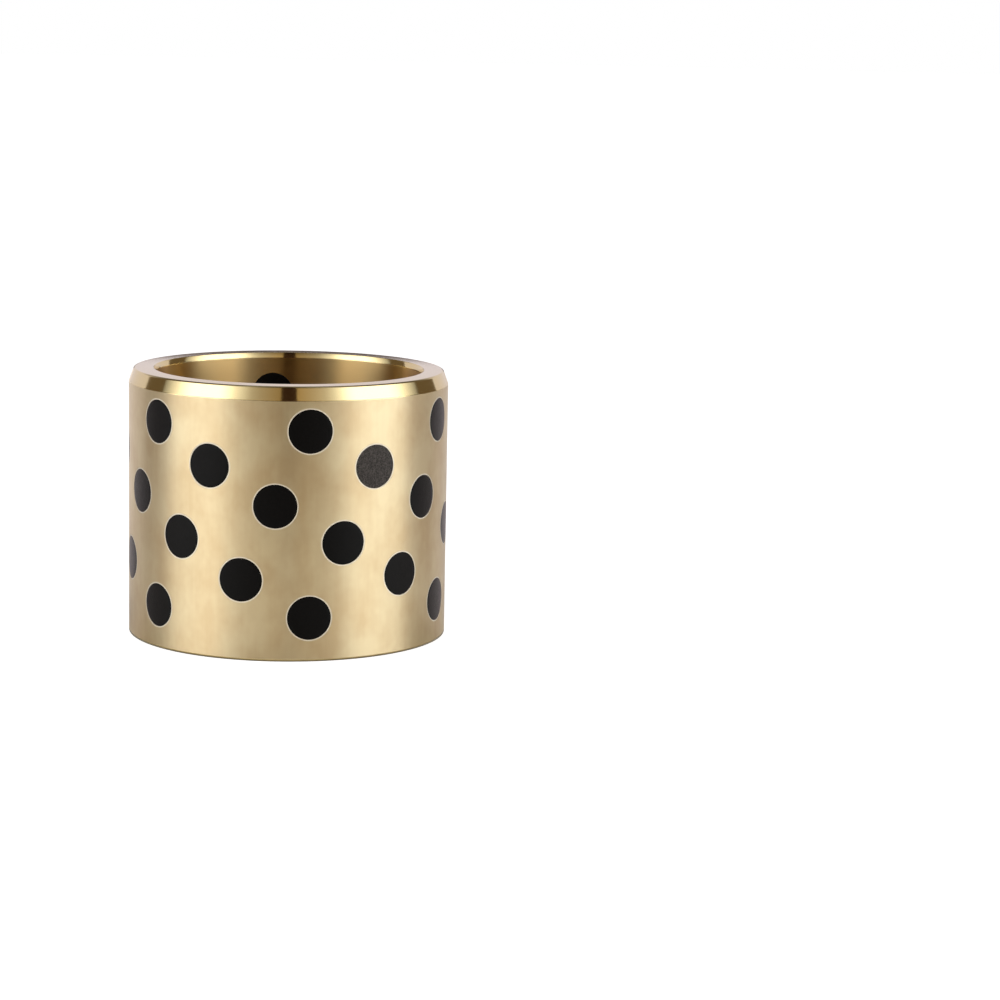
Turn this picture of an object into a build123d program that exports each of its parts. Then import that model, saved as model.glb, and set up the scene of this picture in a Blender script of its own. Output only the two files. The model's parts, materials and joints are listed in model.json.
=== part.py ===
"""Graphite plugged bushing: a bronze sleeve with graphite plugs pressed through its wall.

Units are millimetres and degrees. The sleeve stands on its lower end, with +Z along the bore
axis and the origin at the centre of the lower end face. Every plug lies on a radius of the sleeve
and is finished flush with the bore and with the outside, so both of its ends are curved.
"""

from build123d import *

import os
from math import tan, radians
from string import ascii_lowercase

# The sleeve.
BORE_DIAMETER = 50.0
WALL_THICKNESS = 5.0
SLEEVE_LENGTH = 50.0

# The upper end carries the lead-ins that start the sleeve in its housing and the shaft in the
# bore. Both are cut at the same angle to the axis.
LEAD_IN_ANGLE = 20.0
OUTER_LEAD_IN_LENGTH = 2.5
BORE_LEAD_IN_LENGTH = 1.0

# The lower end only has its two sharp corners broken.
EDGE_BREAK = 0.3

# The plugs: rows of equally spaced plugs, each row turned on from the one above it.
PLUG_DIAMETER = 8.0
PLUGS_PER_ROW = 6
ROW_COUNT = 6
ROW_END_DISTANCE = 8.0
ROW_TURN = 24.0
FIRST_PLUG_ANGLE = -90.0

BORE_RADIUS = BORE_DIAMETER / 2
OUTER_RADIUS = BORE_RADIUS + WALL_THICKNESS
PLUG_RADIUS = PLUG_DIAMETER / 2


def sleeve_blank():
    """The turned sleeve before its holes are drilled: one profile revolved about the bore axis."""
    outer_lead_in_depth = OUTER_LEAD_IN_LENGTH * tan(radians(LEAD_IN_ANGLE))
    bore_lead_in_depth = BORE_LEAD_IN_LENGTH * tan(radians(LEAD_IN_ANGLE))
    section = Polyline(
        (BORE_RADIUS + EDGE_BREAK, 0, 0),
        (OUTER_RADIUS - EDGE_BREAK, 0, 0),
        (OUTER_RADIUS, 0, EDGE_BREAK),
        (OUTER_RADIUS, 0, SLEEVE_LENGTH - OUTER_LEAD_IN_LENGTH),
        (OUTER_RADIUS - outer_lead_in_depth, 0, SLEEVE_LENGTH),
        (BORE_RADIUS + bore_lead_in_depth, 0, SLEEVE_LENGTH),
        (BORE_RADIUS, 0, SLEEVE_LENGTH - BORE_LEAD_IN_LENGTH),
        (BORE_RADIUS, 0, EDGE_BREAK),
        close=True,
    )
    return revolve(make_face(section), Axis.Z, 360)


def plain_wall():
    """The wall between bore and outside, which every plug fills from one face to the other."""
    outside = Cylinder(OUTER_RADIUS, SLEEVE_LENGTH, align=(Align.CENTER, Align.CENTER, Align.MIN))
    bore = Cylinder(BORE_RADIUS, SLEEVE_LENGTH, align=(Align.CENTER, Align.CENTER, Align.MIN))
    return outside - bore


def radial_rod(angle, height):
    """A rod of the plug's diameter on a radius of the sleeve, from the axis to beyond the outside."""
    rod_length = OUTER_RADIUS + PLUG_RADIUS
    rod = Cylinder(PLUG_RADIUS, rod_length, align=(Align.CENTER, Align.CENTER, Align.MIN))
    return Pos(0, 0, height) * Rot(0, 0, angle) * Rot(0, 90, 0) * rod


def rod_positions():
    """Name, angle and height of each plug, row by row from the upper end and round each row."""
    row_pitch = (SLEEVE_LENGTH - 2 * ROW_END_DISTANCE) / (ROW_COUNT - 1)
    plug_pitch = 360 / PLUGS_PER_ROW
    positions = []
    for row in range(ROW_COUNT):
        height = SLEEVE_LENGTH - ROW_END_DISTANCE - row * row_pitch
        for place in range(PLUGS_PER_ROW):
            name = f"graphite_plug_{ascii_lowercase[row]}{place + 1}"
            angle = FIRST_PLUG_ANGLE + row * ROW_TURN + place * plug_pitch
            positions.append((name, angle, height))
    return positions


def build():
    """Every piece by name. A plug and its hole are cut by the same rod, so they seat line to line."""
    wall = plain_wall()
    rods = {name: radial_rod(angle, height) for name, angle, height in rod_positions()}
    pieces = {"sleeve": sleeve_blank() - list(rods.values())}
    for name, rod in rods.items():
        pieces[name] = rod & wall
    return pieces


def write(pieces):
    """One STEP file for each piece, named after it."""
    os.makedirs("parts", exist_ok=True)
    for name, shape in pieces.items():
        export_step(shape, f"parts/{name}.step")


write(build())
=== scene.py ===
"""The finished look of the graphite plugged bushing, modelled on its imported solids.

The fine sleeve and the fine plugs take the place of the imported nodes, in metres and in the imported
frame: the bushing stands on its lower end, and Z runs up along the bore.
"""

import json
import math

import bpy
from mathutils import Matrix, Vector


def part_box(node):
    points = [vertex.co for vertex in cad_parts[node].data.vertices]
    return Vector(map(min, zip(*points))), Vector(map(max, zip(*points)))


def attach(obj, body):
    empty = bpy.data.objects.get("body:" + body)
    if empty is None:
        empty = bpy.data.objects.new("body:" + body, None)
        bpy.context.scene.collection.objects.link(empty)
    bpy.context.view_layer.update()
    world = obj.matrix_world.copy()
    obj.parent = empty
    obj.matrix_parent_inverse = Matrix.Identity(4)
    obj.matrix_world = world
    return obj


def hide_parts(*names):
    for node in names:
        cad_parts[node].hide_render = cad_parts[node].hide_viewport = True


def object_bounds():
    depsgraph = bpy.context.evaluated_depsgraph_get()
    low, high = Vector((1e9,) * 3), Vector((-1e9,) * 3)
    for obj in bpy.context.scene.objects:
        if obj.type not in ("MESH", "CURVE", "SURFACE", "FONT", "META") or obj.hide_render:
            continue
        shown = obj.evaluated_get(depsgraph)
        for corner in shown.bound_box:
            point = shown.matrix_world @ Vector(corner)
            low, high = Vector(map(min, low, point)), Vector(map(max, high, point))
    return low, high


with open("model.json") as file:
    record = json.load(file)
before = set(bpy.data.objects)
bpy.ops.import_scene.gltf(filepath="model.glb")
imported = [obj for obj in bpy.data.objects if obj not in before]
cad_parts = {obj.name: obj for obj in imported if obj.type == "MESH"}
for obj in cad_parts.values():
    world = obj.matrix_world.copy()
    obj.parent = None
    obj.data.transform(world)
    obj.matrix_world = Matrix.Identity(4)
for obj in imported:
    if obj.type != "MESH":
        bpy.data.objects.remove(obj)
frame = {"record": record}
CAD_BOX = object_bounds()

bl_info = {
    "name": "Graphite plugged bushing",
    "version": (1, 0, 0),
    "blender": (4, 5, 0),
    "location": "3D View > Sidebar > Bushing",
    "description": "Models a bronze sleeve bushing with graphite plugs, and its studio",
    "category": "Add Mesh",
}

MM = 0.001
BODY = "root"
ROW_LETTERS = "abcdefghijklmnopqrstuvwxyz"
SLEEVE_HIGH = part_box("sleeve")[1]
BORE = next(m for m in frame["record"]["mounts"] if m["name"] == "bore")

# How finely the round surfaces are cut, and the rings on a plug's ends: how many, how many
# would fill the radius, and the slack in picking the next one.
SLEEVE_STEPS = 720
WALL_RINGS = 14
HOLE_STEPS = 96
ROUND_STEPS = 4
SMOOTH_ANGLE = math.radians(30)
PLUG_RINGS = 5
RINGS_TO_MIDDLE = 5.5
RING_SLACK = 0.98

# How far a rough plug or a drill passes both walls, how near two points are one, and how far
# a plug may be off its packed place.
SPARE = 2 * MM
MERGE = 0.001 * MM
PLUG_SLACK = 0.5 * MM

# How near a plug's side a point lies on it, and how long an edge runs along it.
ON_SIDE = 0.01 * MM
LONG_EDGE = 2 * MM

# Which faces are the end faces and the slopes of the sleeve, and the ends of a plug, by how
# far their normals lean that way, and how far under each wall the slopes and the wall reach.
END_LEAN = 0.9
FACED_LEAN = 0.999
SLOPED_LEAN = 0.02
BORE_SLOPE_WIDTH = 0.5 * MM
OUTER_SLOPE_WIDTH = 1.5 * MM
WALL_DEPTH = 0.05 * MM

# The pale rim round each plug hole, partly a burnished edge and partly a painted highlight, full up
# to its edge and gone at its width.
RIM_WIDTH = 0.32 * MM
RIM_EDGE = 0.14 * MM
RIM_DROP = 0.01 * MM
RIM_HIGHLIGHT_COLOUR = (1.0, 0.95, 0.84)
RIM_ROUGHNESS = 1.0

# Turning marks: rings on bronze and graphite, and how much wider the slow bands are.
RING_PITCH = 0.3 * MM
PLUG_RING_PITCH = 0.35 * MM
BANDS_PER_RING = 14.0
FACE_TILT = math.radians(2)

# Tarnish and painted reflections: the size of the tarnish blotches, how far they and the streaks
# are drawn up the wall, the noise levels that they run between, and how much the streaks, which
# are painted reflections, and the haze count.
BRONZE_BLOTCH = 11 * MM
GRAPHITE_BLOTCH = 4 * MM
BLOTCH_DRAW = 0.8
PAINTED_STREAK_DRAW = 0.05
BLOTCH_LEVELS = (0.36, 0.66)
PAINTED_STREAK_LEVELS = (0.3, 0.7)
PAINTED_STREAK_SHARE = 0.12
HAZE_SHARE = 0.25

# Graphite: its roughness and how far the haze raises it, the noise levels of its specks, and
# the height of its grain and of its rings.
GRAPHITE_ROUGHNESS = 0.32
GRAPHITE_HAZE = 0.2
SPECK_LEVELS = (0.4, 0.75)
GRAIN_HEIGHT = 0.02 * MM
RING_HEIGHT = 0.005 * MM

# Where the parts of the dome end, in degrees from the camera's direction, and where the dark
# strip low behind the bushing stands: a little inside the dome, up to a few degrees high.
GAP_EDGE = 6
SOFTBOX_WARM_EDGE = 36
WALL_LEFT = 125
WALL_RIGHT = 132
LOW_SCREEN_EDGES = (168, 192)
LOW_SCREEN_TOP = 5.6
LOW_SCREEN_REACH = 0.98
ZENITH = 90
DOME_SIDES = 96
DOME_RINGS = 64

# Brightness across each softbox, as (degrees from the camera's direction, share of full
# level), over its upper part and over its foot; the right one is a little wider.
SOFTBOX_LEFT = ((6, 0.14), (22, 0.18), (29, 0.22), (36, 0.36), (42, 0.5), (48, 0.78),
                (54, 1.0), (77, 1.0), (84, 0.8), (90, 0.52), (96, 0.36), (104, 0.15))
LOW_LEFT = ((6, 0.08), (22, 0.1), (30, 0.14), (40, 0.28), (47, 0.6), (54, 1.1),
            (76, 1.2), (87, 1.2), (92, 0.66), (97, 0.16), (104, 0.08))
SOFTBOX_RIGHT = ((6, 0.18), (18, 0.21), (28, 0.26), (35, 0.38), (41, 0.58), (46, 0.85),
                 (52, 1.0), (80, 1.0), (88, 0.84), (94, 0.56), (100, 0.38), (108, 0.16))
LOW_RIGHT = ((6, 0.08), (22, 0.13), (30, 0.2), (38, 0.34), (45, 0.7), (52, 1.1),
             (76, 1.2), (87, 1.2), (92, 0.66), (97, 0.16), (108, 0.08))

# The foot turns into the upper part over these degrees above the floor, and lower down
# towards the back.
SEAM = (16, 22)
SEAM_SLOPE = 0.05

# Brightness up the dome, as (degrees above the floor, share of full level).
HEIGHT_FALL_OFF = ((0, 1.0), (36, 1.0), (43, 0.5), (52, 0.3), (62, 0.2), (90, 0.2))
SOFTBOX_RISE = ((0, 1.3), (5, 1.3), (8, 0.35), (13, 0.35), (18, 1.05), (36, 1.05), (43, 0.5),
                (52, 0.3), (62, 0.2), (90, 0.2))
WALL_FALL_OFF = ((0, 1.0), (20, 1.0), (30, 0.4), (40, 0.15), (52, 0.12), (62, 0.3), (90, 0.3))

# The white floor as the metal sees it, with painted light and shade: its level, as (degrees to
# the right of the camera's direction, level), where it turns from the front to the back tint,
# and the painted contact shadow that dims it close to the bushing.
FLOOR_LEVELS = ((-180, 0.9), (-160, 0.6), (-130, 0.27), (-110, 0.24), (-90, 0.36), (-60, 0.38),
                (-40, 0.66), (0, 0.6), (20, 0.5), (40, 0.5), (60, 0.34), (90, 0.38),
                (110, 0.38), (140, 0.28), (180, 0.6))
FLOOR_TURN = (75, 85)
FLOOR_SHADOW_REACH = (0.03, 0.06)
FLOOR_SHADOW_SHARE = 0.45

# The floor is a disc with an inner ring, and the dark sheet of painted shade in front is a strip from
# the bushing's side.
FLOOR_SIDES = 128
FLOOR_RADIUS = 12
FLOOR_RING = 10
FRONT_SHADE_SIZE = (0.3, 1.5)
FRONT_SHADE_DISTANCE = 0.9

# The camera's sensor in millimetres, as the lens is, and how near and far it sees in metres.
SENSOR_WIDTH = 36
CAMERA_REACH = (0.01, 50)


class SleeveSettings(bpy.types.PropertyGroup):
    """Sizes and colours of the bronze sleeve."""

    bore_diameter: bpy.props.FloatProperty(
        name="Bore diameter", description="Width of the hole for the shaft",
        default=2 * BORE["dims"]["r_mm"] * MM, subtype="DISTANCE", unit="LENGTH")
    outer_diameter: bpy.props.FloatProperty(
        name="Outside diameter", description="Width over the outside wall",
        default=2 * SLEEVE_HIGH.x, subtype="DISTANCE", unit="LENGTH")
    length: bpy.props.FloatProperty(
        name="Length", description="Height from end face to end face",
        default=SLEEVE_HIGH.z, subtype="DISTANCE", unit="LENGTH")
    lead_in_angle: bpy.props.FloatProperty(
        name="Lead-in angle", description="Slope of both lead-ins against the bore axis",
        default=math.radians(20), subtype="ANGLE", unit="ROTATION")
    outer_lead_in: bpy.props.FloatProperty(
        name="Outside lead-in", description="Height of the long lead-in at the upper end",
        default=2.5 * MM, subtype="DISTANCE", unit="LENGTH")
    bore_lead_in: bpy.props.FloatProperty(
        name="Bore lead-in", description="Height of the lead-in at the mouth of the bore",
        default=1.0 * MM, subtype="DISTANCE", unit="LENGTH")
    edge_break: bpy.props.FloatProperty(
        name="Edge break", description="Width of the small breaks at the lower end",
        default=0.3 * MM, subtype="DISTANCE", unit="LENGTH")
    edge_round: bpy.props.FloatProperty(
        name="Edge round", description="How far most turned corners are rubbed back",
        default=0.1 * MM, subtype="DISTANCE", unit="LENGTH")
    rim_round: bpy.props.FloatProperty(
        name="Rim round", description="How far the end face's outer corner is rubbed back",
        default=0.32 * MM, subtype="DISTANCE", unit="LENGTH")
    bronze: bpy.props.FloatVectorProperty(
        name="Bronze", description="Colour of the bare bronze",
        default=(0.82, 0.695, 0.445), subtype="COLOR", size=3, min=0, max=1)
    warm_bronze: bpy.props.FloatVectorProperty(
        name="Warm bronze", description="Colour where the bronze is a little tarnished",
        default=(0.72, 0.565, 0.335), subtype="COLOR", size=3, min=0, max=1)
    polished_bronze: bpy.props.FloatVectorProperty(
        name="Polished bronze", description="Colour of the bronze on the smooth lead-ins",
        default=(0.78, 0.63, 0.335), subtype="COLOR", size=3, min=0, max=1)
    # The bore is given a darker, browner bronze than the outside wall.
    bore_bronze: bpy.props.FloatVectorProperty(
        name="Bore bronze", description="Colour of the bronze in the bore, darker and browner than outside",
        default=(0.71, 0.50, 0.225), subtype="COLOR", size=3, min=0, max=1)


class PlugSettings(bpy.types.PropertyGroup):
    """Sizes, places and colours of the graphite plugs."""

    diameter: bpy.props.FloatProperty(
        name="Plug diameter", description="Width of each plug and its hole",
        default=8 * MM, subtype="DISTANCE", unit="LENGTH")
    per_row: bpy.props.IntProperty(
        name="Plugs in a row", description="Number of plugs round each row", default=6, min=1)
    rows: bpy.props.IntProperty(
        name="Rows", description="Number of rows of plugs", default=6, min=2)
    end_distance: bpy.props.FloatProperty(
        name="End distance", description="From each end face to the nearest row's middle",
        default=8 * MM, subtype="DISTANCE", unit="LENGTH")
    row_turn: bpy.props.FloatProperty(
        name="Row turn", description="How far each row is turned on from the one above",
        default=math.radians(24), subtype="ANGLE", unit="ROTATION")
    first_angle: bpy.props.FloatProperty(
        name="First plug", description="Direction of the first plug of the top row",
        default=math.radians(-90), subtype="ANGLE", unit="ROTATION")
    edge_round: bpy.props.FloatProperty(
        name="Edge round", description="How far a plug's rim is rubbed back",
        default=0.1 * MM, subtype="DISTANCE", unit="LENGTH")
    sink: bpy.props.FloatProperty(
        name="Sink", description="How far a plug's ends lie under the sleeve's walls",
        default=0.02 * MM, subtype="DISTANCE", unit="LENGTH")
    graphite: bpy.props.FloatVectorProperty(
        name="Graphite", description="Colour of the graphite",
        default=(0.0004, 0.0004, 0.0005), subtype="COLOR", size=3, min=0, max=1)
    specks: bpy.props.FloatVectorProperty(
        name="Specks", description="Colour of the paler grains in the graphite",
        default=(0.002, 0.0018, 0.002), subtype="COLOR", size=3, min=0, max=1)
    # One plug is painted paler, with its grains showing: a painted sheen of the softbox on that plug.
    sheen_plug: bpy.props.StringProperty(
        name="Painted sheen plug", description="The plug whose grain shows, counted from the upper end",
        default="b1")
    sheen_graphite: bpy.props.FloatVectorProperty(
        name="Painted sheen graphite", description="Colour of that plug between its grains",
        default=(0.036, 0.031, 0.029), subtype="COLOR", size=3, min=0, max=1)
    sheen_specks: bpy.props.FloatVectorProperty(
        name="Painted sheen specks", description="Colour of the grains that show in that plug",
        default=(0.15, 0.135, 0.122), subtype="COLOR", size=3, min=0, max=1)


class StudioSettings(bpy.types.PropertyGroup):
    """The floor, the lights and the camera."""

    floor_colour: bpy.props.FloatVectorProperty(
        name="Floor", description="Colour of the floor",
        default=(0.5, 0.5, 0.5), subtype="COLOR", size=3, min=0, max=1)
    floor_glow: bpy.props.FloatProperty(
        name="Floor glow", description="White added to the floor, which keeps its shadow light",
        default=0.87, min=0)
    floor_front: bpy.props.FloatVectorProperty(
        name="Floor in front", description="Tint of that white as the metal sees it in front",
        default=(1, 0.91, 0.78), subtype="COLOR", size=3, min=0, max=1)
    floor_behind: bpy.props.FloatVectorProperty(
        name="Floor behind", description="Tint of that white as the metal sees it behind",
        default=(1, 0.90, 0.86), subtype="COLOR", size=3, min=0, max=1)
    dome_radius: bpy.props.FloatProperty(
        name="Dome radius", description="From the bushing to the softboxes and screens",
        default=2, subtype="DISTANCE", unit="LENGTH")
    softbox_level: bpy.props.FloatProperty(
        name="Softbox level", description="Brightness of the middle of each softbox",
        default=2.6, min=0)
    softbox_warmth: bpy.props.FloatVectorProperty(
        name="Softbox warmth", description="Colour of a softbox at its dim edge by the camera",
        default=(1, 0.74, 0.4), subtype="COLOR", size=3, min=0, max=1)
    back_wall: bpy.props.FloatVectorProperty(
        name="Back wall", description="Colour of the pale wall behind",
        default=(0.80, 0.75, 0.81), subtype="COLOR", size=3, min=0, max=1)
    dark_screen: bpy.props.FloatVectorProperty(
        name="Dark screens", description="Colour of the dark screens beside the softboxes",
        default=(0.15, 0.11, 0.065), subtype="COLOR", size=3, min=0, max=1)
    gap: bpy.props.FloatVectorProperty(
        name="Camera gap", description="Colour of the gap round the camera",
        default=(0.04, 0.02, 0.012), subtype="COLOR", size=3, min=0, max=1)
    # A dark sheet on the floor in front, hidden from the camera: painted shade on the floor.
    front_mat: bpy.props.FloatVectorProperty(
        name="Front shade", description="Colour of the painted shade between the camera and the bushing",
        default=(0.20, 0.17, 0.13), subtype="COLOR", size=3, min=0, max=1)
    camera_azimuth: bpy.props.FloatProperty(
        name="Camera azimuth", description="Where the camera stands, turned from -Y towards +X",
        default=math.radians(-7.53), subtype="ANGLE", unit="ROTATION")
    camera_elevation: bpy.props.FloatProperty(
        name="Camera elevation", description="How far above the bushing's middle it looks from",
        default=math.radians(9.41), subtype="ANGLE", unit="ROTATION")
    camera_distance: bpy.props.FloatProperty(
        name="Camera distance", description="From the camera to the bushing's middle",
        default=531.25 * MM, subtype="DISTANCE", unit="LENGTH")
    camera_turn: bpy.props.FloatProperty(
        name="Camera turn", description="How far the camera looks to the right of the bushing",
        default=math.radians(4.342), subtype="ANGLE", unit="ROTATION")
    camera_roll: bpy.props.FloatProperty(
        name="Camera roll", description="How far the camera is tipped about its own view",
        default=math.radians(0.471), subtype="ANGLE", unit="ROTATION")
    lens: bpy.props.FloatProperty(
        name="Lens", description="Focal length in millimetres on a 36 mm wide sensor",
        default=100.39, min=1)


# Small helpers for modelling.

def start_clean():
    """Object mode, with nothing selected."""
    if bpy.context.mode != "OBJECT":
        bpy.ops.object.mode_set(mode="OBJECT")
    bpy.ops.object.select_all(action="DESELECT")


def begin(name):
    """Names the object just added, and settles its place into its mesh."""
    piece = bpy.context.active_object
    piece.name = piece.data.name = name
    bpy.ops.object.transform_apply(location=True, rotation=True, scale=True)
    return piece


def pick(piece, kind, test):
    """Selects the vertices, edges or faces of a piece that pass a test, and enters edit mode."""
    bpy.ops.object.mode_set(mode="EDIT")
    bpy.ops.mesh.select_mode(type={"vertices": "VERT", "edges": "EDGE", "polygons": "FACE"}[kind])
    bpy.ops.mesh.select_all(action="DESELECT")
    bpy.ops.object.mode_set(mode="OBJECT")
    for part in getattr(piece.data, kind):
        part.select = test(part)
    bpy.ops.object.mode_set(mode="EDIT")


def choose(piece):
    """Makes a piece the active one, and the only one selected."""
    start_clean()
    piece.select_set(True)
    bpy.context.view_layer.objects.active = piece


def apply_modifier(piece, kind, **settings):
    """Adds a modifier to a piece and applies it."""
    choose(piece)
    modifier = piece.modifiers.new(kind, kind)
    for key, value in settings.items():
        setattr(modifier, key, value)
    bpy.ops.object.modifier_apply(modifier=modifier.name)


def smooth(piece):
    """Smooth shading that keeps the sharp edges, with flat faces left flat."""
    choose(piece)
    bpy.ops.object.shade_smooth_by_angle(angle=SMOOTH_ANGLE, keep_sharp_edges=True)
    apply_modifier(piece, "WEIGHTED_NORMAL", keep_sharp=True, weight=100)


def remove(piece):
    """Takes a helper object out of the scene."""
    bpy.data.objects.remove(piece, do_unlink=True)


def across(direction):
    """How far from the bore axis a point lies."""
    return math.hypot(direction.x, direction.y)


# Small helpers for materials.

def put(tree, kind, inputs=None, **settings):
    """Adds a node; each input is a value, or the socket that feeds it."""
    node = tree.nodes.new(kind)
    for key, value in settings.items():
        setattr(node, key, value)
    for key, value in (inputs or {}).items():
        if isinstance(value, bpy.types.NodeSocket):
            tree.links.new(value, node.inputs[key])
        else:
            node.inputs[key].default_value = value
    return node


def calc(tree, operation, *values, clamp=False):
    """Adds a maths node and gives its result."""
    inputs = dict(enumerate(values))
    return put(tree, "ShaderNodeMath", inputs, operation=operation, use_clamp=clamp).outputs[0]


def parts_of(tree, vector):
    """The X, Y and Z of a vector."""
    return put(tree, "ShaderNodeSeparateXYZ", {0: vector}).outputs


def hypotenuse(tree, first, second):
    """The long side over two sides at a right angle."""
    return calc(tree, "SQRT", calc(tree, "ADD", calc(tree, "POWER", first, 2.0),
                                   calc(tree, "POWER", second, 2.0)))


def blend(tree, factor, first, second):
    """Mixes two colours; inputs 6 and 7 and output 2 are the node's colours."""
    first, second = (value if isinstance(value, bpy.types.NodeSocket) else (*value, 1)
                     for value in (first, second))
    return put(tree, "ShaderNodeMix", {"Factor": factor, 6: first, 7: second},
               data_type="RGBA").outputs[2]


def spread(tree, value, low, high, to_low=0.0, to_high=1.0):
    """Maps a value from one range to another, held at both ends."""
    return put(tree, "ShaderNodeMapRange", {
        "Value": value, "From Min": low, "From Max": high,
        "To Min": to_low, "To Max": to_high}).outputs["Result"]


def new_group(name, inputs, outputs):
    """A node group with named sockets; gives its tree and its inner ends."""
    tree = bpy.data.node_groups.new(name, "ShaderNodeTree")
    for label, kind, value in inputs:
        socket = tree.interface.new_socket(label, in_out="INPUT", socket_type=kind)
        if value is not None:
            socket.default_value = value
    for label, kind in outputs:
        tree.interface.new_socket(label, in_out="OUTPUT", socket_type=kind)
    return tree, put(tree, "NodeGroupInput").outputs, put(tree, "NodeGroupOutput").inputs


def use_group(tree, group, **inputs):
    """Places a node group in a material."""
    return put(tree, "ShaderNodeGroup", inputs, node_tree=group).outputs


def shared_group(name, build):
    """The node group of that name, built the first time that it is asked for."""
    return bpy.data.node_groups.get(name) or build(name)


def turning_marks(name):
    """Fine rings round the bore axis, as a lathe tool leaves them."""
    tree, given, result = new_group(
        name,
        [("Place", "NodeSocketVector", None), ("Pitch", "NodeSocketFloat", RING_PITCH),
         ("Drift", "NodeSocketFloat", 40.0)],
        [("Rings", "NodeSocketFloat"), ("Bands", "NodeSocketFloat")])
    place = parts_of(tree, given["Place"])
    along = calc(tree, "ADD", place["Z"], hypotenuse(tree, place["X"], place["Y"]))
    wide = calc(tree, "MULTIPLY", given["Pitch"], BANDS_PER_RING)
    for label, pitch, detail in (("Rings", given["Pitch"], 2.0), ("Bands", wide, 1.0)):
        turned = put(tree, "ShaderNodeCombineXYZ", {
            "X": calc(tree, "MULTIPLY", place["X"], given["Drift"]),
            "Y": calc(tree, "MULTIPLY", place["Y"], given["Drift"]),
            "Z": calc(tree, "DIVIDE", along, pitch)}).outputs[0]
        noise = put(tree, "ShaderNodeTexNoise", {
            "Vector": turned, "Scale": 1.0, "Detail": detail, "Roughness": 0.6})
        tree.links.new(noise.outputs["Fac"], result[label])
    return tree


def mottling(name):
    """Slow blotches of tarnish and finger marks, and faint streaks up the wall that are painted
    reflections.
    """
    tree, given, result = new_group(
        name,
        [("Place", "NodeSocketVector", None), ("Size", "NodeSocketFloat", 0.01)],
        [("Blotches", "NodeSocketFloat"), ("Haze", "NodeSocketFloat"),
         ("Streaks", "NodeSocketFloat")])
    for label, draw, shrink, detail in (("Blotches", BLOTCH_DRAW, 0.7, 3.0),
                                        ("Haze", 1.0, 0.28, 2.0),
                                        ("Streaks", PAINTED_STREAK_DRAW, 0.1, 3.0)):
        drawn = put(tree, "ShaderNodeVectorMath", {0: given["Place"], 1: (1.0, 1.0, draw)},
                    operation="MULTIPLY").outputs[0]
        scaled = put(tree, "ShaderNodeVectorMath", {
            0: drawn,
            "Scale": calc(tree, "DIVIDE", 1.0, calc(tree, "MULTIPLY", given["Size"], shrink))},
            operation="SCALE").outputs[0]
        noise = put(tree, "ShaderNodeTexNoise", {
            "Vector": scaled, "Scale": 1.0, "Detail": detail, "Roughness": 0.62})
        tree.links.new(noise.outputs["Fac"], result[label])
    return tree


def plug_row_distance(name):
    """How far a point is from the axis of the nearest plug of one row."""
    plugs = bpy.context.scene.bushing_plugs
    tree, given, result = new_group(
        name,
        [("Place", "NodeSocketVector", None), ("Row", "NodeSocketFloat", 0.0)],
        [("Distance", "NodeSocketFloat")])
    place = parts_of(tree, given["Place"])
    row = calc(tree, "MINIMUM", calc(tree, "MAXIMUM", given["Row"], 0.0), plugs.rows - 1.0)
    angle = calc(tree, "ARCTAN2", place["Y"], place["X"])
    turned = calc(tree, "SUBTRACT", calc(tree, "SUBTRACT", angle, plugs.first_angle),
                  calc(tree, "MULTIPLY", row, plugs.row_turn))
    half = math.pi / plugs.per_row
    off = calc(tree, "WRAP", turned, half, -half)
    radius = hypotenuse(tree, place["X"], place["Y"])
    sideways = calc(tree, "MULTIPLY", radius, calc(tree, "SINE", off))
    height = calc(tree, "SUBTRACT", row_height(0), calc(tree, "MULTIPLY", row, row_pitch()))
    up = calc(tree, "SUBTRACT", place["Z"], height)
    tree.links.new(hypotenuse(tree, sideways, up), result["Distance"])
    return tree


def hole_edges(name):
    """How far a point on the sleeve's wall is from the rim of the nearest plug hole."""
    plugs = bpy.context.scene.bushing_plugs
    tree, given, result = new_group(
        name, [("Place", "NodeSocketVector", None)], [("From Rim", "NodeSocketFloat")])
    place = parts_of(tree, given["Place"])
    down = calc(tree, "DIVIDE", calc(tree, "SUBTRACT", row_height(0), place["Z"]), row_pitch())
    row = calc(tree, "FLOOR", down)
    near = shared_group("Plug row distance", plug_row_distance)
    lower = calc(tree, "ADD", row, 1.0)
    above = use_group(tree, near, Place=given["Place"], Row=row)["Distance"]
    below = use_group(tree, near, Place=given["Place"], Row=lower)["Distance"]
    nearest = calc(tree, "MINIMUM", above, below)
    tree.links.new(calc(tree, "SUBTRACT", nearest, plugs.diameter / 2), result["From Rim"])
    return tree


def new_material(name):
    """An empty material with its output, and the place of each point on the piece."""
    material = bpy.data.materials.new(name)
    material.use_nodes = True
    tree = material.node_tree
    tree.nodes.clear()
    output = put(tree, "ShaderNodeOutputMaterial").inputs["Surface"]
    place = put(tree, "ShaderNodeTexCoord").outputs["Object"]
    return material, tree, output, place


def turned_shine(tree, height):
    """What both finishes share: a bump, and a shine that is drawn out along Z."""
    bump = put(tree, "ShaderNodeBump", {"Height": height, "Strength": 1.0, "Distance": 1.0})
    tangent = put(tree, "ShaderNodeTangent", direction_type="RADIAL", axis="Z")
    return {"Normal": bump.outputs[0], "Tangent": tangent.outputs[0],
            "Anisotropic Rotation": 0.25}


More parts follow.
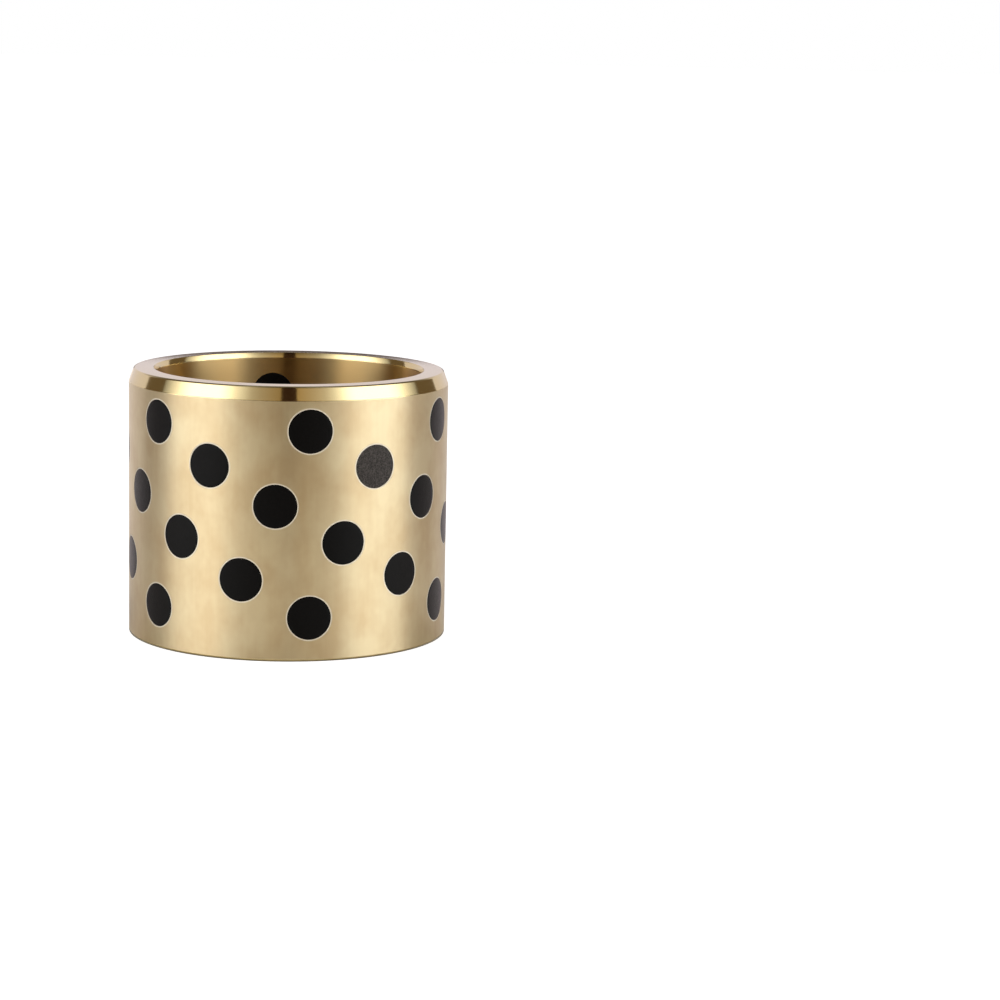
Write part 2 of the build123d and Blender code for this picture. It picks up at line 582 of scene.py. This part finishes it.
def bronze_finish(name, bright, dull, roughness, grain, depth, tilt=0.0, rims=False):
    """Bare bronze with turning marks; grain is how far its shine is drawn out across them."""
    material, tree, output, place = new_material(name)
    marks = use_group(tree, shared_group("Turning marks", turning_marks), Place=place)
    stain = use_group(tree, shared_group("Mottling", mottling), Place=place, Size=BRONZE_BLOTCH)
    colour = (*bright, 1)
    if tuple(bright) != tuple(dull):
        # The blotches are tarnish; the streaks up the wall are painted reflections.
        painted_streaks = spread(tree, stain["Streaks"], *PAINTED_STREAK_LEVELS, -PAINTED_STREAK_SHARE, PAINTED_STREAK_SHARE)
        tarnish_and_painted_streaks = calc(tree, "ADD", spread(tree, stain["Blotches"], *BLOTCH_LEVELS), painted_streaks,
                       clamp=True)
        colour = blend(tree, tarnish_and_painted_streaks, bright, dull)
    unevenness = calc(tree, "SUBTRACT", calc(tree, "ADD", stain["Haze"], marks["Bands"]), 1.0)
    shine = calc(tree, "ADD", roughness,
                 calc(tree, "MULTIPLY", HAZE_SHARE * roughness, unevenness))
    height = calc(tree, "MULTIPLY", marks["Rings"], depth)
    if tilt:
        parts = parts_of(tree, place)
        away = hypotenuse(tree, parts["X"], parts["Y"])
        height = calc(tree, "SUBTRACT", height, calc(tree, "MULTIPLY", away, math.tan(tilt)))
    # A pale ring round each hole: partly a burnished edge, partly a painted highlight.
    if rims:
        rim = use_group(tree, shared_group("Hole edges", hole_edges), Place=place)["From Rim"]
        burnish_and_highlight = spread(tree, rim, RIM_EDGE, RIM_WIDTH, 1.0, 0.0)
        colour = blend(tree, burnish_and_highlight, colour, RIM_HIGHLIGHT_COLOUR)
        shine = calc(tree, "ADD", calc(tree, "MULTIPLY", burnish_and_highlight, RIM_ROUGHNESS),
                     calc(tree, "MULTIPLY", shine, calc(tree, "SUBTRACT", 1.0, burnish_and_highlight)))
        drop = calc(tree, "MULTIPLY", calc(tree, "POWER", burnish_and_highlight, 2.0), -RIM_DROP)
        height = calc(tree, "ADD", height, drop)
    shader = put(tree, "ShaderNodeBsdfPrincipled", {
        "Base Color": colour, "Metallic": 1.0, "Roughness": shine, "Anisotropic": grain,
        **turned_shine(tree, height)})
    tree.links.new(shader.outputs[0], output)
    return material


def graphite_finish(name, base, specks, grain_size):
    """Pressed graphite: near black, matte and slightly grainy."""
    material, tree, output, place = new_material(name)
    grain = put(tree, "ShaderNodeTexNoise", {
        "Vector": place, "Scale": 1 / grain_size, "Detail": 3.0, "Roughness": 0.7}).outputs["Fac"]
    stain = use_group(tree, shared_group("Mottling", mottling), Place=place,
                      Size=GRAPHITE_BLOTCH)
    marks = use_group(tree, shared_group("Turning marks", turning_marks), Place=place,
                      Pitch=PLUG_RING_PITCH)
    colour = blend(tree, spread(tree, grain, *SPECK_LEVELS), base, specks)
    shine = calc(tree, "ADD", GRAPHITE_ROUGHNESS,
                 calc(tree, "MULTIPLY", GRAPHITE_HAZE, stain["Haze"]))
    height = calc(tree, "ADD", calc(tree, "MULTIPLY", grain, GRAIN_HEIGHT),
                  calc(tree, "MULTIPLY", marks["Rings"], RING_HEIGHT))
    shader = put(tree, "ShaderNodeBsdfPrincipled", {
        "Base Color": colour, "Roughness": shine, "Specular IOR Level": 0.13,
        "Sheen Weight": 1.0, "Sheen Roughness": 0.3, "Sheen Tint": (1, 0.9, 0.94, 1),
        "Anisotropic": 0.75, **turned_shine(tree, height)})
    tree.links.new(shader.outputs[0], output)
    return material


# Where the plugs are.

def row_pitch():
    """How far apart the rows of plugs are."""
    plugs, length = bpy.context.scene.bushing_plugs, bpy.context.scene.bushing_sleeve.length
    return (length - 2 * plugs.end_distance) / (plugs.rows - 1)


def row_height(row):
    """The height of a row's middle; row 0 is the top one."""
    plugs, length = bpy.context.scene.bushing_plugs, bpy.context.scene.bushing_sleeve.length
    return length - plugs.end_distance - row * row_pitch()


def plug_places():
    """Each plug's label, its turn from the first plug and its height."""
    plugs = bpy.context.scene.bushing_plugs
    for row in range(plugs.rows):
        for place in range(plugs.per_row):
            turn = row * plugs.row_turn + place * 2 * math.pi / plugs.per_row
            yield f"{ROW_LETTERS[row]}{place + 1}", turn, row_height(row)


def copy_turned(piece, name, turn, rise):
    """A copy of a piece with its own mesh, turned about the bore axis and raised."""
    choose(piece)
    bpy.ops.object.duplicate(linked=False)
    copy = bpy.context.active_object
    copy.name = copy.data.name = name
    bpy.ops.transform.translate(value=(0, 0, rise))
    bpy.ops.transform.rotate(value=-turn, orient_axis="Z", orient_type="GLOBAL",
                             center_override=(0, 0, 0))
    bpy.ops.object.transform_apply(location=True, rotation=True, scale=True)
    return copy


def rough_plug(name, radius, inner, outer):
    """A round rod across the wall on -Y at the first plug's height."""
    start_clean()
    bpy.ops.mesh.primitive_cylinder_add(
        vertices=HOLE_STEPS, radius=radius, depth=outer - inner, end_fill_type="NGON",
        location=(0, -(inner + outer) / 2, row_height(0)), rotation=(math.pi / 2, 0, 0))
    return begin(name)


class BUSHING_OT_sleeve(bpy.types.Operator):
    """Model the bronze sleeve: its section is drawn, spun round the bore axis and drilled"""

    bl_idname = "bushing.sleeve"
    bl_label = "Sleeve"

    def execute(self, context):
        settings = context.scene.bushing_sleeve
        piece = self.spin_section(settings)
        self.drill(piece, settings)
        self.paint(piece, settings)
        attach(piece, BODY)
        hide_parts("sleeve")
        return {"FINISHED"}

    def spin_section(self, settings):
        """Draws the wall's section at +X, trims its corners and spins it."""
        inner, outer = settings.bore_diameter / 2, settings.outer_diameter / 2
        length, broken = settings.length, settings.edge_break
        slope_x, slope_z = math.cos(settings.lead_in_angle), math.sin(settings.lead_in_angle)
        start_clean()
        bpy.ops.mesh.primitive_plane_add(
            size=1, location=((inner + outer) / 2, 0, length / 2), rotation=(math.pi / 2, 0, 0))
        piece = begin("fine_sleeve")
        bpy.ops.object.mode_set(mode="EDIT")
        bpy.ops.mesh.select_all(action="SELECT")
        bpy.ops.transform.resize(value=(outer - inner, 1, length),
                                 center_override=((inner + outer) / 2, 0, length / 2))
        cuts = (((outer, 0, length - settings.outer_lead_in), (slope_x, 0, slope_z)),
                ((inner, 0, length - settings.bore_lead_in), (-slope_x, 0, slope_z)),
                ((outer, 0, broken), (1, 0, -1)),
                ((inner, 0, broken), (-1, 0, -1)))
        for point, outwards in cuts:
            bpy.ops.mesh.select_all(action="SELECT")
            bpy.ops.mesh.bisect(plane_co=point, plane_no=outwards, clear_outer=True)
        bpy.ops.object.mode_set(mode="OBJECT")
        corners = [v.co for v in piece.data.vertices]
        rim = max(corners, key=lambda co: (round(co.z, 6), co.x)).copy()
        for chosen, rounding in ((False, settings.edge_round), (True, settings.rim_round)):
            pick(piece, "vertices", lambda v: ((v.co - rim).length < MERGE) == chosen)
            bpy.ops.mesh.bevel(offset=rounding, segments=ROUND_STEPS, affect="VERTICES")
        bpy.ops.mesh.select_all(action="SELECT")
        bpy.ops.mesh.delete(type="ONLY_FACE")
        walls = {round(inner, 6), round(outer, 6)}
        pick(piece, "edges", lambda edge: all(
            round(piece.data.vertices[v].co.x, 6) in walls for v in edge.vertices))
        bpy.ops.mesh.subdivide(number_cuts=WALL_RINGS - 1)
        bpy.ops.mesh.select_all(action="SELECT")
        bpy.ops.mesh.spin(steps=SLEEVE_STEPS, angle=2 * math.pi, center=(0, 0, 0), axis=(0, 0, 1))
        bpy.ops.mesh.select_all(action="SELECT")
        bpy.ops.mesh.remove_doubles(threshold=MERGE)
        bpy.ops.mesh.normals_make_consistent(inside=False)
        bpy.ops.object.mode_set(mode="OBJECT")
        return piece

    def drill(self, piece, settings):
        """Cuts the plug holes through the wall."""
        radius = bpy.context.scene.bushing_plugs.diameter / 2
        drill = rough_plug("drill", radius, settings.bore_diameter / 2 - SPARE,
                           settings.outer_diameter / 2 + SPARE)
        drills = [copy_turned(drill, "drill_" + label, turn, height - row_height(0))
                  for label, turn, height in plug_places()]
        remove(drill)
        choose(drills[0])
        for other in drills:
            other.select_set(True)
        bpy.ops.object.join()
        apply_modifier(piece, "BOOLEAN", operation="DIFFERENCE", solver="EXACT", object=drills[0])
        remove(drills[0])
        pick(piece, "vertices", lambda v: True)
        bpy.ops.mesh.remove_doubles(threshold=MERGE)
        bpy.ops.mesh.dissolve_degenerate(threshold=MERGE)
        bpy.ops.mesh.normals_make_consistent(inside=False)
        bpy.ops.object.mode_set(mode="OBJECT")
        smooth(piece)

    def paint(self, piece, settings):
        """Gives each turned surface its own finish."""
        outer, inner = settings.outer_diameter / 2, settings.bore_diameter / 2
        bronze, warm = settings.bronze, settings.warm_bronze
        polished, bore_tone = settings.polished_bronze, settings.bore_bronze
        plain = [(bright + dull) / 2 for bright, dull in zip(bronze, warm)]
        finishes = (
            bronze_finish("bronze_turned", bronze, warm, roughness=0.37, grain=0.85,
                          depth=0.0004 * MM, rims=True),
            bronze_finish("bronze_polished", polished, polished, roughness=0.13, grain=0.95,
                          depth=0.0001 * MM),
            bronze_finish("bronze_faced", plain, plain, roughness=0.1, grain=0.5,
                          depth=0.0001 * MM, tilt=FACE_TILT),
            bronze_finish("bronze_bored", bore_tone, bore_tone, roughness=0.31, grain=1.0,
                          depth=0.0002 * MM))
        turned, sloped, faced, bored = range(len(finishes))
        for finish in finishes:
            piece.data.materials.append(finish)
        for face in piece.data.polygons:
            away, lean = across(face.center), abs(face.normal.z)
            between = inner + BORE_SLOPE_WIDTH < away < outer - OUTER_SLOPE_WIDTH
            if lean > FACED_LEAN:
                face.material_index = faced
            elif lean > SLOPED_LEAN and not between:
                face.material_index = sloped
            elif away > outer - WALL_DEPTH:
                face.material_index = turned
            else:
                face.material_index = bored


class BUSHING_OT_plugs(bpy.types.Operator):
    """Model one graphite plug, and copy it into every hole of the sleeve"""

    bl_idname = "bushing.plugs"
    bl_label = "Plugs"

    def execute(self, context):
        plugs, sleeve = context.scene.bushing_plugs, context.scene.bushing_sleeve
        plug = self.first_plug(plugs, sleeve)
        plug.data.materials.append(
            graphite_finish("graphite", plugs.graphite, plugs.specks, 0.4 * MM))
        # That plug's paler graphite is a painted sheen.
        sheen_finish = graphite_finish(
            "graphite_dusty", plugs.sheen_graphite, plugs.sheen_specks, 0.3 * MM)
        for label, turn, height in plug_places():
            copy = copy_turned(plug, "fine_plug_" + label, turn, height - row_height(0))
            node = "graphite_plug_" + label
            low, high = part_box(node)
            middle = sum((v.co for v in copy.data.vertices), Vector()) / len(copy.data.vertices)
            if (middle - (low + high) / 2).length > PLUG_SLACK:
                raise RuntimeError(f"{copy.name} doesn't lie in its hole")
            if label == plugs.sheen_plug:
                copy.data.materials[0] = sheen_finish
            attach(copy, BODY)
            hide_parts(node)
        remove(plug)
        return {"FINISHED"}

    def first_plug(self, plugs, sleeve):
        """A rod whose ends are ringed, laid on the sleeve's two walls and rubbed round."""
        inner = sleeve.bore_diameter / 2 + plugs.sink
        outer = sleeve.outer_diameter / 2 - plugs.sink
        radius = plugs.diameter / 2
        plug = rough_plug("plug", radius, inner - SPARE, outer + SPARE)

        def off_axis(vertex):
            """How far one of the plug's points lies from the plug's own axis."""
            co = plug.data.vertices[vertex].co
            return math.hypot(co.x, co.z - row_height(0))

        def on_rim(edge):
            """Whether one of the plug's edges lies in a rim."""
            one, other = (plug.data.vertices[v].co.y for v in edge.vertices)
            return abs(one - other) < LONG_EDGE and all(
                abs(off_axis(v) - radius) < ON_SIDE for v in edge.vertices)

        for count in range(PLUG_RINGS):
            end = RING_SLACK * radius * (1 - count / RINGS_TO_MIDDLE)
            pick(plug, "polygons", lambda face: abs(face.normal.y) > END_LEAN and all(
                off_axis(v) > end for v in face.vertices) and len(face.vertices) > 4)
            bpy.ops.mesh.inset(thickness=radius / RINGS_TO_MIDDLE, depth=0)
        bpy.ops.object.mode_set(mode="OBJECT")
        for name, reach, side in (("outer_end", outer, -1), ("bore_end", inner, 1)):
            start_clean()
            bpy.ops.mesh.primitive_cylinder_add(
                vertices=SLEEVE_STEPS, radius=reach, depth=2 * sleeve.length,
                end_fill_type="NOTHING", location=(0, 0, sleeve.length / 2))
            gauge = begin("gauge")
            middle = -(inner + outer) / 2
            chosen = [v.index for v in plug.data.vertices if (v.co.y - middle) * side > 0]
            plug.vertex_groups.new(name=name).add(chosen, 1.0, "ADD")
            apply_modifier(plug, "SHRINKWRAP", target=gauge, wrap_method="PROJECT",
                           vertex_group=name, use_project_x=False, use_project_y=True,
                           use_project_z=False, use_negative_direction=side > 0,
                           use_positive_direction=side < 0)
            remove(gauge)
        plug.vertex_groups.clear()
        choose(plug)
        pick(plug, "edges", on_rim)
        bpy.ops.mesh.bevel(offset=plugs.edge_round, segments=ROUND_STEPS, affect="EDGES")
        bpy.ops.object.mode_set(mode="OBJECT")
        smooth(plug)
        return plug


class BUSHING_OT_stage(bpy.types.Operator):
    """Lay the floor, stand the softboxes and the screens round it, and set the camera"""

    bl_idname = "bushing.stage"
    bl_label = "Stage"

    def execute(self, context):
        studio = context.scene.bushing_studio
        self.lay_floor(studio, context.scene.bushing_sleeve)
        self.stand_screens(studio)
        self.light_world()
        self.place_camera(studio)
        context.scene.view_settings.view_transform = "Standard"
        return {"FINISHED"}

    def lay_floor(self, studio, sleeve):
        """A white paper floor; metal sees it with painted light and shade, at a level that depends on
        the direction.
        """
        start_clean()
        bpy.ops.mesh.primitive_circle_add(
            vertices=FLOOR_SIDES, radius=FLOOR_RADIUS, fill_type="NGON")
        floor = begin("floor")
        pick(floor, "polygons", lambda face: True)
        bpy.ops.mesh.inset(thickness=FLOOR_RING, depth=0)
        bpy.ops.object.mode_set(mode="OBJECT")
        material, tree, output, place = new_material("floor_paper")
        path = put(tree, "ShaderNodeLightPath").outputs
        seen = calc(tree, "MAXIMUM", path["Is Camera Ray"], path["Is Transmission Ray"])
        off = put(tree, "ShaderNodeVectorMath", {0: place}, operation="LENGTH").outputs["Value"]
        open_floor = calc(tree, "GREATER_THAN", off, sleeve.outer_diameter / 2)
        degrees = self.from_camera(tree, place, studio)
        # Painted light and shade on the floor as the metal sees it, with a painted contact shadow
        # close to the bushing.
        level = calc(tree, "MULTIPLY", self.ramp(tree, degrees, FLOOR_LEVELS),
                     spread(tree, off, *FLOOR_SHADOW_REACH, FLOOR_SHADOW_SHARE, 1.0))
        tint = blend(tree, spread(tree, calc(tree, "ABSOLUTE", degrees), *FLOOR_TURN),
                     studio.floor_front, studio.floor_behind)
        paper = put(tree, "ShaderNodeBsdfDiffuse", {"Color": (*studio.floor_colour, 1)})
        for colour, rays in (((1, 1, 1, 1), calc(tree, "MULTIPLY", seen, studio.floor_glow)),
                             (tint, calc(tree, "MULTIPLY", path["Is Glossy Ray"], level))):
            glow = put(tree, "ShaderNodeEmission", {
                "Color": colour, "Strength": calc(tree, "MULTIPLY", rays, open_floor)})
            paper = put(tree, "ShaderNodeAddShader", {0: paper.outputs[0], 1: glow.outputs[0]})
        tree.links.new(paper.outputs[0], output)
        floor.data.materials.append(material)

    def stand_screens(self, studio):
        """Softboxes and screens stand round the bushing as parts of one large dome."""
        dark = self.screen_cloth("dark_cloth", studio.dark_screen, HEIGHT_FALL_OFF)
        gap = self.screen_cloth("gap_cloth", studio.gap, HEIGHT_FALL_OFF)
        wall = self.screen_cloth("wall_cloth", studio.back_wall, WALL_FALL_OFF)
        right, left = SOFTBOX_RIGHT[-1][0], SOFTBOX_LEFT[-1][0]
        for name, start, stop, high, material in (
                ("softbox_right", GAP_EDGE, right, ZENITH,
                 self.softbox_cloth("softbox_cloth_right", SOFTBOX_RIGHT, LOW_RIGHT, studio)),
                ("softbox_left", -left, -GAP_EDGE, ZENITH,
                 self.softbox_cloth("softbox_cloth_left", SOFTBOX_LEFT, LOW_LEFT, studio)),
                ("gap_screen", -GAP_EDGE, GAP_EDGE, ZENITH, gap),
                ("screen_right", right, WALL_RIGHT, ZENITH, dark),
                ("screen_left", -WALL_LEFT, -left, ZENITH, dark),
                ("back_wall_right", WALL_RIGHT, 180, ZENITH, wall),
                ("back_wall_left", -180, -WALL_LEFT, ZENITH, wall),
                ("low_screen", *LOW_SCREEN_EDGES, LOW_SCREEN_TOP, gap)):
            radius = studio.dome_radius * (LOW_SCREEN_REACH if name == "low_screen" else 1)
            screen = self.dome_part(name, radius, studio.camera_azimuth, start, stop, high)
            screen.data.materials.append(material)
            self.hide_from_camera(screen)
        self.lay_front_shade(studio)

    def lay_front_shade(self, studio):
        """A dark sheet of painted shade on the floor, from the bushing towards the camera, hidden
        from the camera.
        """
        start_clean()
        bpy.ops.mesh.primitive_plane_add(size=1)
        shade_sheet = begin("front_mat")
        bpy.ops.object.mode_set(mode="EDIT")
        bpy.ops.mesh.select_all(action="SELECT")
        bpy.ops.transform.resize(value=(*FRONT_SHADE_SIZE, 1), center_override=(0, 0, 0))
        bpy.ops.transform.translate(value=(0, -FRONT_SHADE_DISTANCE, MM))
        bpy.ops.transform.rotate(value=-studio.camera_azimuth, orient_axis="Z",
                                 orient_type="GLOBAL", center_override=(0, 0, 0))
        bpy.ops.object.mode_set(mode="OBJECT")
        shade_sheet.data.materials.append(
            self.screen_cloth("mat_cloth", studio.front_mat, HEIGHT_FALL_OFF))
        self.hide_from_camera(shade_sheet)

    def hide_from_camera(self, screen):
        """A screen stands outside the picture and shows only in what the metal reflects."""
        screen.visible_camera = False
        screen.visible_transmission = False
        screen.visible_shadow = False

    def dome_part(self, name, radius, azimuth, start, stop, high):
        """The part of a dome between two directions and up to a height, in degrees."""
        start_clean()
        bpy.ops.mesh.primitive_uv_sphere_add(
            segments=DOME_SIDES, ring_count=DOME_RINGS, radius=radius)
        part = begin(name)
        bpy.ops.object.mode_set(mode="EDIT")
        cuts = [((0, 0, 0), (0, 0, -1))]
        if high < ZENITH:
            cuts.append(((0, 0, radius * math.sin(math.radians(high))), (0, 0, 1)))
        for edge, side in ((start, -1), (stop, 1)):
            turn = math.radians(edge) + azimuth
            cuts.append(((0, 0, 0), (side * math.cos(turn), side * math.sin(turn), 0)))
        for point, outwards in cuts:
            bpy.ops.mesh.select_all(action="SELECT")
            bpy.ops.mesh.bisect(plane_co=point, plane_no=outwards, clear_outer=True)
        bpy.ops.object.mode_set(mode="OBJECT")
        return part

    def from_camera(self, tree, place, studio):
        """How many degrees to the right of the camera's direction a point lies, from -180."""
        parts = parts_of(tree, place)
        angle = calc(tree, "ARCTAN2", parts["X"], calc(tree, "MULTIPLY", parts["Y"], -1.0))
        away = calc(tree, "SUBTRACT", angle, studio.camera_azimuth)
        return calc(tree, "MULTIPLY", calc(tree, "WRAP", away, math.pi, -math.pi), 180 / math.pi)

    def above_floor(self, tree, place):
        """How many degrees above the floor a point of the dome stands."""
        direction = put(tree, "ShaderNodeVectorMath", {0: place}, operation="NORMALIZE")
        rise = parts_of(tree, direction.outputs[0])["Z"]
        return calc(tree, "MULTIPLY", calc(tree, "ARCSINE", rise), 180 / math.pi)

    def ramp(self, tree, degrees, stops):
        """A brightness that runs through (degrees, level) stops."""
        low, reach = stops[0][0], stops[-1][0] - stops[0][0]
        ramp = put(tree, "ShaderNodeValToRGB", {
            "Fac": calc(tree, "DIVIDE", calc(tree, "SUBTRACT", degrees, low), reach)})
        elements = ramp.color_ramp.elements
        for _ in range(len(stops) - 2):
            elements.new(0.5)
        for element, (at, level) in zip(elements, stops):
            element.position, element.color = (at - low) / reach, (level, level, level, 1)
        return ramp.outputs[0]

    def screen_cloth(self, name, colour, fall_off):
        """A cloth of one colour that glows less further up."""
        material, tree, output, place = new_material(name)
        glow = put(tree, "ShaderNodeEmission", {
            "Color": (*colour, 1),
            "Strength": self.ramp(tree, self.above_floor(tree, place), fall_off)})
        tree.links.new(glow.outputs[0], output)
        return material

    def softbox_cloth(self, name, across_top, across_foot, studio):
        """A softbox whose light falls off and turns warmer towards the camera."""
        material, tree, output, place = new_material(name)
        degrees = calc(tree, "ABSOLUTE", self.from_camera(tree, place, studio))
        rise = self.above_floor(tree, place)
        seam = calc(tree, "ADD", rise, calc(tree, "MULTIPLY", degrees, SEAM_SLOPE))
        share = blend(tree, spread(tree, seam, *SEAM), self.ramp(tree, degrees, across_foot),
                      self.ramp(tree, degrees, across_top))
        tint = blend(tree, spread(tree, degrees, GAP_EDGE, SOFTBOX_WARM_EDGE),
                     studio.softbox_warmth, (1, 1, 1))
        strength = calc(tree, "MULTIPLY", calc(tree, "MULTIPLY", share, studio.softbox_level),
                        self.ramp(tree, rise, SOFTBOX_RISE))
        glow = put(tree, "ShaderNodeEmission", {"Color": tint, "Strength": strength})
        tree.links.new(glow.outputs[0], output)
        return material

    def light_world(self):
        """A plain white room lights the scene."""
        world = bpy.data.worlds.new("white_room")
        world.use_nodes = True
        background = world.node_tree.nodes["Background"]
        background.inputs["Color"].default_value = (1, 1, 1, 1)
        background.inputs["Strength"].default_value = 1
        bpy.context.scene.world = world

    def place_camera(self, studio):
        """The camera looks past the bushing, which stands to the left in its picture."""
        turn, rise = studio.camera_azimuth, studio.camera_elevation
        back = Vector((math.sin(turn) * math.cos(rise), -math.cos(turn) * math.cos(rise),
                       math.sin(rise)))
        middle = (CAD_BOX[0] + CAD_BOX[1]) / 2
        data = bpy.data.cameras.new("camera")
        data.lens, data.sensor_width = studio.lens, SENSOR_WIDTH
        data.clip_start, data.clip_end = CAMERA_REACH
        camera = bpy.data.objects.new("camera", data)
        bpy.context.scene.collection.objects.link(camera)
        look = (-back).to_track_quat("-Z", "Y").to_matrix().to_4x4()
        aim = Matrix.Rotation(-studio.camera_turn, 4, "Y") @ Matrix.Rotation(
            studio.camera_roll, 4, "Z")
        camera.matrix_world = Matrix.Translation(
            middle + back * studio.camera_distance) @ look @ aim
        bpy.context.scene.camera = camera


class BUSHING_PT_parts(bpy.types.Panel):
    """The bushing's pieces, in the sidebar"""

    bl_idname = "BUSHING_PT_parts"
    bl_label = "Plugged bushing"
    bl_space_type = "VIEW_3D"
    bl_region_type = "UI"
    bl_category = "Bushing"

    def draw(self, context):
        for title, operator, group in (
                ("Sleeve", "bushing.sleeve", context.scene.bushing_sleeve),
                ("Plugs", "bushing.plugs", context.scene.bushing_plugs),
                ("Stage", "bushing.stage", context.scene.bushing_studio)):
            box = self.layout.box()
            box.label(text=title)
            for name in group.bl_rna.properties.keys():
                if name not in ("rna_type", "name"):
                    box.prop(group, name)
            box.operator(operator)


CLASSES = (SleeveSettings, PlugSettings, StudioSettings, BUSHING_OT_sleeve, BUSHING_OT_plugs,
           BUSHING_OT_stage, BUSHING_PT_parts)
SETTINGS = (("bushing_sleeve", SleeveSettings), ("bushing_plugs", PlugSettings),
            ("bushing_studio", StudioSettings))


def register():
    for part in CLASSES:
        bpy.utils.register_class(part)
    for name, kind in SETTINGS:
        setattr(bpy.types.Scene, name, bpy.props.PointerProperty(type=kind))


def unregister():
    for name, _ in SETTINGS:
        delattr(bpy.types.Scene, name)
    for part in reversed(CLASSES):
        bpy.utils.unregister_class(part)


def main():
    """Builds the pieces in order."""
    register()
    bpy.ops.bushing.sleeve()
    bpy.ops.bushing.plugs()
    bpy.ops.bushing.stage()


if __name__ == "__main__":
    main()
